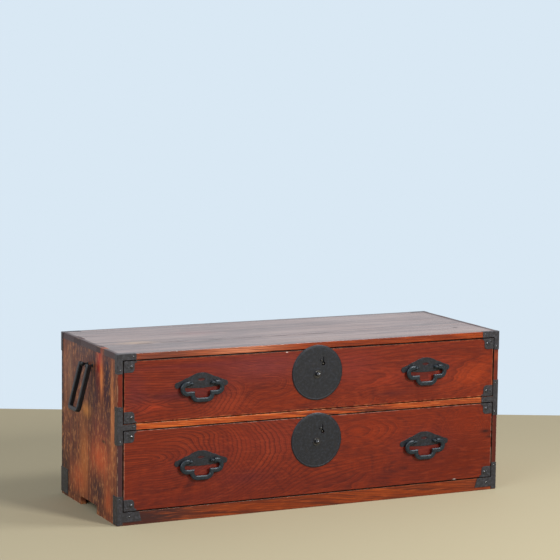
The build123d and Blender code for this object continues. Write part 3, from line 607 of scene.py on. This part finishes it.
sideMarks = {
    "upper": shade(110, 38, 22),
    "lower": shade(70, 44, 46),
    "dark": shade(44, 24, 26),
    "change": (0.225, 0.275),    # the height where the lower colour becomes the upper one
    "streakFrom": 0.35,
    "streaks": 1.4,
    "glow": (0.366, 0.010, shade(134, 62, 36)),     # bare patch on the right, under the top iron
    "glowFade": 0.006,
    "stile": (-0.1968, -0.1976), # the stile is what lies before this
    "rightSide": (0.0, 0.1),     # between these it goes over from the left side to the right one
    "shoulder": shade(66, 52, 54),      # the fingers' ends, stained as the top is
    "shoulderAbove": (0.4185, 0.4205),
    "shoulderBehind": (-0.085, -0.075), # on the left side; on the right all of it is stained
    "joint": (0.0070, 0.0011),   # the joint of a side's two boards, dark from the floor to the loop
    "jointFade": 0.0006,
    "jointTop": (0.385, 0.365),
    "jointLeast": 0.35,          # how dark it is where there is no streak
    "inner": (0.5376, 0.5366),   # the face inside, painted dark near the front as shade in the gaps beside the drawers
    "innerReach": (-0.165, -0.185),
}


def sideBoard(name, look, marks, seed):
    # the front edge of a side is a narrow stile, redder above and darker below; the rest is streaky
    finish = Finish(name + "Wood")
    wood = grain(finish, look, "zyx", seed)
    x, y, z = (finish.axis(letter) for letter in "xyz")
    onRight = finish.step(x, *marks["rightSide"])
    colour = finish.mix(finish.step(z, *marks["change"]), marks["lower"], marks["upper"])
    colour = finish.mix((wood["streak"] - marks["streakFrom"]) * marks["streaks"], colour, marks["dark"])
    height, half, glow = marks["glow"]
    bare = finish.within(z, height - half, height + half, marks["glowFade"]) * onRight
    colour = finish.mix(bare, colour, glow)
    colour = finish.mix(finish.step(y, *marks["stile"]), wood["colour"], colour)
    shoulder = finish.step(z, *marks["shoulderAbove"])
    stained = finish.step(y, *marks["shoulderBehind"]).most(onRight)
    colour = finish.mix(shoulder * stained, colour, marks["shoulder"])
    colour = rubbedEdges(finish, name, look, colour)
    joint, half = marks["joint"]
    crack = finish.within(y, joint - half, joint + half, marks["jointFade"])
    crack = crack * finish.step(z, *marks["jointTop"])
    colour = finish.mix(crack * (wood["streak"] + marks["jointLeast"]), colour, marks["dark"])
    # painted shade on the inner face near the front, seen through the gaps beside the drawers
    soot = finish.step(x.math("ABSOLUTE"), *marks["inner"]) * finish.step(y, *marks["innerReach"])
    colour = finish.mix(soot * look["soot"], colour, look["sootAndShadeColour"])
    paint(woodSurface(finish, look, colour, wood["height"]), name)


rightMarks = variant(
    sideMarks, upper=shade(98, 38, 24), lower=shade(84, 33, 22), glow=(0.366, 0.010, shade(112, 50, 30)),
)
for side, marks, seed in (("left", sideMarks, 6.0), ("right", rightMarks, 9.0)):
    sideBoard(side + "_side_front_board", sideLook, marks, seed)
    sideBoard(side + "_side_rear_board", sideLook, marks, seed + 1.3)
print("sides painted")


topMarks = {
    "bare": (-0.440, -0.034, 0.055, 0.024, shade(200, 168, 124), 0.85),
    "bareFrom": (0.35, 0.60),    # it shows in the paler streaks
    "crack": -0.062,             # a ragged crack just behind the joint of the two boards
    "crackSize": (24.0, 90.0, 0.3),     # how ragged it is along and across, and its seed
    "crackSway": 0.012,
    "crackHalf": (0.0035, 0.0015),      # half its width, and the fade of its sides
    "crackEnds": (-0.490, 0.110, 0.02), # its left and right end, and their fade
    "crackFrom": (0.42, 0.52),
    "crackShare": 0.9,
    "nick": (0.470, -0.102, 0.009, 0.008, shade(30, 22, 26), 1.00),
    "leftEnd": (-0.5395, -0.5425),      # the dark stained ends, the right one wider, and the rear edge
    "rightEnd": (0.5330, 0.5360),
    "rearEdge": (0.202, 0.205),
    "stained": shade(50, 42, 46),
    "endFace": shade(70, 52, 54),
    "endFaceFrom": (0.5490, 0.5497),
    "stainShare": 0.8,
}
# what the polish of the top gains in the smears and the pale streaks, and what it loses elsewhere
topSheen = {
    "smearSize": (5.0, 40.0, 0.5), "smear": 0.8, "streak": 0.6, "base": -0.46, "late": 0.10,
    "stained": 0.8, "crack": 0.80, "bare": 0.25,
}


def topBoard(name, look, marks, shine, seed):
    finish = Finish(name + "Wood")
    wood = grain(finish, look, "xyz", seed)
    x, y = finish.axis("x"), finish.axis("y")
    *place, pale, strength = marks["bare"]
    bare = finish.spot(x, y, place[:2], place[2:]) * finish.step(wood["streak"], *marks["bareFrom"])
    colour = finish.mix(bare * strength, wood["colour"], pale)
    raggedLong, raggedWide, raggedSeed = marks["crackSize"]
    ragged = finish.noise(x * raggedLong, y * raggedWide, raggedSeed, detail=3.0, rough=0.6)
    behind = marks["crack"] + (ragged - 0.5) * marks["crackSway"]
    half, fade = marks["crackHalf"]
    crack = finish.within(y, behind - half, behind + half, fade)
    crack = crack * finish.within(x, *marks["crackEnds"]) * finish.step(ragged, *marks["crackFrom"])
    *place, dark, strength = marks["nick"]
    nick = finish.spot(x, y, place[:2], place[2:])
    colour = finish.mix((crack * marks["crackShare"]).most(nick * strength), colour, dark)
    stained = finish.step(x, *marks["leftEnd"]).most(finish.step(x, *marks["rightEnd"])).most(
        finish.step(y, *marks["rearEdge"])
    )
    colour = finish.mix(stained * marks["stainShare"], colour, marks["stained"])
    endFace = finish.step(x.math("ABSOLUTE"), *marks["endFaceFrom"])
    colour = finish.mix(endFace * marks["stainShare"], colour, marks["endFace"])
    smearLong, smearWide, smearSeed = shine["smearSize"]
    smear = finish.noise(x * smearLong + seed, y * smearWide, smearSeed, detail=4.0, rough=0.65)
    sheen = (
        look["coat"] + shine["base"] + smear * shine["smear"] - wood["late"] * shine["late"]
        + (wood["streak"] - 0.5) * shine["streak"] - stained * shine["stained"]
        - crack.most(nick) * shine["crack"] - bare * shine["bare"] - endFace * shine["stained"]
    )
    paint(woodSurface(finish, look, colour, wood["height"], sheen), name)


topBoard("top_front_board", topLook, topMarks, topSheen, 12.0)
topBoard("top_rear_board", topLook, topMarks, topSheen, 13.1)
# the directions along, across and through each soft board; its seed comes from the length of its name
caseBoards = {
    "bottom_board": "xyz",
    "dust_board": "xyz",
    "back_lower_board": "xzy",
    "back_upper_board": "xzy",
    "back_pegs": "yxz",
}
drawerBoards = {
    "drawer_left_side": "yzx",
    "drawer_right_side": "yzx",
    "drawer_back": "xzy",
    "drawer_bottom": "xyz",
}
seedSteps = {"case": 0.77, "drawer": 0.53}
for name, axes in caseBoards.items():
    plainBoard(name, axes, softLook, len(name) * seedSteps["case"])
for drawer in ("upper", "lower"):
    for part, axes in drawerBoards.items():
        plainBoard(drawer + "_" + part, axes, softLook, len(drawer + part) * seedSteps["drawer"])
print("top, back and drawer boxes painted")


ironLook = {
    "colour": shade(10, 15, 25),
    "rubbed": shade(48, 56, 70),
    "rust": shade(40, 34, 36),
    "roughness": 0.50,
    "cloudRoughness": (0.25, -0.12),    # what the clouds add to it, and the share taken off for them
    "metallic": 0.35,
    "coat": 0.26,            # the old black lacquer on the iron
    "coatRoughness": 0.26,
    "specular": 0.50,
    "cloudSize": 60.0,       # clouds and specks per metre
    "speckSize": 130.0,
    "relief": (0.6, 0.4),    # clouds, specks
    "rubbedFrom": (0.44, 0.70),
    "rubbing": 0.45,
    "rustFrom": (0.56, 0.74),
    "rusting": 0.35,
    "dent": 0.0004,
    "rounding": 0.0007,
}
forgedLook = variant(
    ironLook, colour=shade(18, 30, 38), rubbed=shade(66, 80, 92), roughness=0.46,
    coatRoughness=0.32, specular=0.32, speckSize=200.0, rubbing=0.30, rounding=0.0011,
)
loopLook = variant(forgedLook, colour=shade(25, 28, 32), rubbed=shade(56, 60, 66), coat=0.28)
cornerLook = variant(
    ironLook, colour=shade(34, 34, 40), rubbed=shade(78, 80, 90), rust=shade(66, 54, 58), rubbing=0.5,
    coat=0.28,
)
headLook = variant(
    ironLook, colour=shade(30, 31, 35), roughness=0.28, coat=1.0, coatRoughness=0.10,
)
filedLook = variant(ironLook, colour=shade(92, 88, 82), rubbed=shade(140, 136, 128), coat=0.0)


def ironField(finish, look):
    axes = [finish.axis(letter) for letter in "xyz"]
    cloud = finish.noise(*(axis * look["cloudSize"] for axis in axes), detail=3.0, rough=0.6)
    speck = finish.noise(*(axis * look["speckSize"] for axis in axes), detail=5.0, rough=0.72)
    rubbed = finish.step(speck, *look["rubbedFrom"]) * look["rubbing"]
    colour = finish.mix(rubbed, look["colour"], look["rubbed"])
    colour = finish.mix(finish.step(cloud, *look["rustFrom"]) * look["rusting"], colour, look["rust"])
    cloudUp, speckUp = look["relief"]
    return {"colour": colour, "height": cloud * cloudUp + speck * speckUp, "cloud": cloud}


def ironSurface(finish, look, iron, colour, height):
    gain, base = look["cloudRoughness"]
    return finish.surface(
        Base_Color=colour, Roughness=iron["cloud"] * gain + (look["roughness"] + base),
        Metallic=look["metallic"], Specular_IOR_Level=look["specular"],
        Coat_Weight=look["coat"], Coat_Roughness=look["coatRoughness"],
        Normal=finish.bump(height, look["dent"], look["rounding"]),
    )


def ironFinish(name, look):
    finish = Finish(name)
    iron = ironField(finish, look)
    return ironSurface(finish, look, iron, iron["colour"], iron["height"])


plateLook = variant(
    ironLook,
    ring=(0.93, 0.945),      # a lighter ring, a painted highlight of the bevel near the rim, as shares of the plate's radius
    ringFade=0.0006,
    ringShare=0.35,
    rim=0.0030,              # the plate falls off over this width
    turning=1400.0,          # faint turned rings, in radians per metre
    turned=(3.0, 0.8, 0.08), # depths of the rim, the ring and the turned rings in the relief
)


def lockPlateFinish(name, look):
    # faint turned rings about the middle, and near the rim a ring of painted highlight
    finish = Finish(name + "Iron")
    iron = ironField(finish, look)
    low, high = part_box(name)
    x = finish.axis("x") - (low.x + high.x) / 2
    z = finish.axis("z") - (low.z + high.z) / 2
    radius = (x * x + z * z) ** 0.5
    outer = (high.x - low.x) / 2
    ring = finish.within(radius, *(outer * share for share in look["ring"]), look["ringFade"])
    fall = finish.step(radius, outer - look["rim"], outer)
    wave = (radius * look["turning"]).math("SINE")
    # the ring painted lighter: painted highlight of the bevel near the rim
    colour = finish.mix(ring * look["ringShare"], iron["colour"], look["rubbed"])
    fallDepth, ringDepth, waveDepth = look["turned"]
    height = iron["height"] - fall * fallDepth - ring * ringDepth + wave * waveDepth
    paint(ironSurface(finish, look, iron, colour, height), name)


ironByEnding = {
    ironFinish("forgedIron", forgedLook): ("_bail", "handle_posts"),
    ironFinish("loopIron", loopLook): ("_carrying_loop", "loop_posts"),
    ironFinish("headIron", headLook): ("lock_boss", "lock_button", "corner_studs", "iron_nails"),
    ironFinish("filedIron", filedLook): ("lock_case", "lock_bolt", "lock_spring"),
    ironFinish("cornerIron", cornerLook): ("_iron", "_irons"),
    ironFinish("sheetIron", ironLook): ("handle_plates",),
}
for material, endings in ironByEnding.items():
    paint(material, *(name for name in nodes if name.endswith(endings)))
for drawer in ("upper", "lower"):
    lockPlateFinish(drawer + "_lock_plate", plateLook)
print("iron painted")


leafLook = {
    "thickness": 0.0006,
    "foot": 0.008,           # height of the straight foot
    "rows": 16,
}


def leafSpring(drawer, look):
    # A flat strip: its foot runs straight down the back of the lock case, and from there it slants
    # forward to the push stud, in even steps of height and depth. Every row has the leaf's four
    # corners.
    name = drawer + "_lock_spring"
    low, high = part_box(name)
    bend = high.z - look["foot"]
    heights = np.concatenate([[high.z], np.linspace(bend, low.z, look["rows"])])
    slant = np.clip((bend - heights) / (bend - low.z), 0.0, 1.0)
    front = (high.y - look["thickness"]) * (1.0 - slant) + low.y * slant
    back = front + look["thickness"]
    across = [np.full_like(heights, x) for x in (low.x, high.x, high.x, low.x)]
    corners = zip(across, (front, front, back, back))
    points = np.stack([np.stack([x, y, heights], axis=1) for x, y in corners], axis=1)
    last = len(heights) - 1
    faces = [
        (row * 4 + side, (row + 1) * 4 + side, (row + 1) * 4 + (side + 1) % 4, row * 4 + (side + 1) % 4)
        for row in range(last) for side in range(4)
    ]
    faces += [(0, 1, 2, 3), tuple(last * 4 + corner for corner in (3, 2, 1, 0))]
    mesh = bpy.data.meshes.new(drawer + "_spring_leaf")
    mesh.from_pydata(points.reshape(-1, 3).tolist(), [], faces)
    mesh.materials.append(bpy.data.materials["filedIron"])
    leaf = bpy.data.objects.new(drawer + "_spring_leaf", mesh)
    bpy.context.scene.collection.objects.link(leaf)
    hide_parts(name)
    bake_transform(leaf)


for drawer in ("upper", "lower"):
    leafSpring(drawer, leafLook)
print("springs made")


floorLook = {
    "colour": shade(165, 156, 130),
    "roughness": 0.75,
    "specular": 0.1,
    "far": 6.6,              # from the camera to the floor's far edge, level and straight ahead
    "near": 9.0,             # how far the floor comes forward from that edge
    "half": 9.0,
}


def floorPlane(look, camera):
    # a level rectangle square to the view, its far edge at a given distance from the camera
    yaw = math.radians(camera["yaw"])
    ahead = Vector((math.sin(yaw), math.cos(yaw), 0))
    across = Vector((math.cos(yaw), -math.sin(yaw), 0))
    start = Vector((camera["place"][0], camera["place"][1], 0))
    near, far, half = look["far"] - look["near"], look["far"], look["half"]
    corners = [
        start + ahead * distance + across * side
        for distance, side in ((near, -half), (near, half), (far, half), (far, -half))
    ]
    mesh = bpy.data.meshes.new("floor")
    mesh.from_pydata([tuple(corner) for corner in corners], [], [(0, 1, 2, 3)])
    floor = bpy.data.objects.new("floor", mesh)
    bpy.context.scene.collection.objects.link(floor)
    finish = Finish("floorPaint")
    mesh.materials.append(finish.surface(
        Base_Color=(*look["colour"], 1.0), Roughness=look["roughness"],
        Specular_IOR_Level=look["specular"],
    ))


worldLook = {
    "backdrop": shade(217, 232, 244),
    "behind": (0.66, 0.635, 0.66),  # what gloss shows of the bright side, beyond the chest
    "before": (0.13, 0.14, 0.15),   # of the dim side, behind the camera
    "above": (1.30, 1.32, 1.38),    # and of the ceiling, which draws the light lines on the ironwork
    "turn": (-0.15, 0.45),          # where the dim side goes over into the bright one
    "rise": (0.45, 0.80),           # and where the ceiling starts
    "fill": (0.44, 0.45, 0.48),
}


def buildWorld(look):
    world = bpy.data.worlds.new("studio")
    bpy.context.scene.world = world
    world.use_nodes = True
    sheet = Sheet(world.node_tree, "Generated")
    gloss = sheet.mix(sheet.step(sheet.axis("y"), *look["turn"]), look["before"], look["behind"])
    gloss = sheet.mix(sheet.step(sheet.axis("z"), *look["rise"]), gloss, look["above"])
    isGloss = sheet.node("ShaderNodeLightPath", {}, {}, "Is Glossy Ray")
    isSeen = sheet.node("ShaderNodeLightPath", {}, {}, "Is Camera Ray").most(
        sheet.node("ShaderNodeLightPath", {}, {}, "Is Transmission Ray")
    )
    seen = sheet.mix(isSeen, sheet.mix(isGloss, look["fill"], gloss), look["backdrop"])
    sheet.finishWith("ShaderNodeOutputWorld", sheet.node("ShaderNodeBackground", {}, {"Color": seen}))


lampAim = (0, 0, 0.22)
lamps = {
    "top": {"place": (1.1, -0.9, 2.5), "size": 0.7, "power": 35.0, "colour": (1.0, 1.0, 1.0)},
    "key": {"place": (1.6, -4.2, 2.6), "size": 1.0, "power": 215.0, "colour": (1.0, 0.97, 0.93)},
    "fill": {"place": (-3.8, -2.2, 2.4), "size": 2.6, "power": 90.0, "colour": (0.95, 0.98, 1.0)},
}


def addLamp(name, look):
    data = bpy.data.lights.new(name, "AREA")
    data.size = look["size"]
    data.energy = look["power"]
    data.color = look["colour"]
    lamp = bpy.data.objects.new(name, data)
    lamp.location = look["place"]
    aim = Vector(lampAim) - lamp.location
    lamp.rotation_euler = aim.to_track_quat("-Z", "Y").to_euler()
    bpy.context.scene.collection.objects.link(lamp)


viewpoint = {
    "place": (-2.3725, -4.9194, 1.2559),
    "yaw": 25.6305,
    "pitch": 7.1208,
    "roll": 0.6947,
    "lens": 132.89,          # and the picture's width behind it, both in millimetres
    "width": 36.0,
    "reach": 50.0,
}


def addCamera(look):
    yaw, pitch, roll = (math.radians(look[key]) for key in ("yaw", "pitch", "roll"))
    forward = Vector((
        math.sin(yaw) * math.cos(pitch), math.cos(yaw) * math.cos(pitch), -math.sin(pitch)
    ))
    right = Vector((math.cos(yaw), -math.sin(yaw), 0))
    up = right.cross(forward)
    turnedRight = right * math.cos(roll) + up * math.sin(roll)
    turnedUp = up * math.cos(roll) - right * math.sin(roll)
    data = bpy.data.cameras.new("camera")
    data.lens = look["lens"]
    data.sensor_width = look["width"]
    data.clip_end = look["reach"]
    camera = bpy.data.objects.new("camera", data)
    turn = Matrix((turnedRight, turnedUp, -forward)).transposed()
    camera.matrix_world = Matrix.Translation(look["place"]) @ turn.to_4x4()
    bpy.context.scene.collection.objects.link(camera)
    bpy.context.scene.camera = camera


floorPlane(floorLook, viewpoint)
buildWorld(worldLook)
for name, look in lamps.items():
    addLamp(name, look)
addCamera(viewpoint)
bpy.context.scene.view_settings.view_transform = "Standard"
print("stage set")
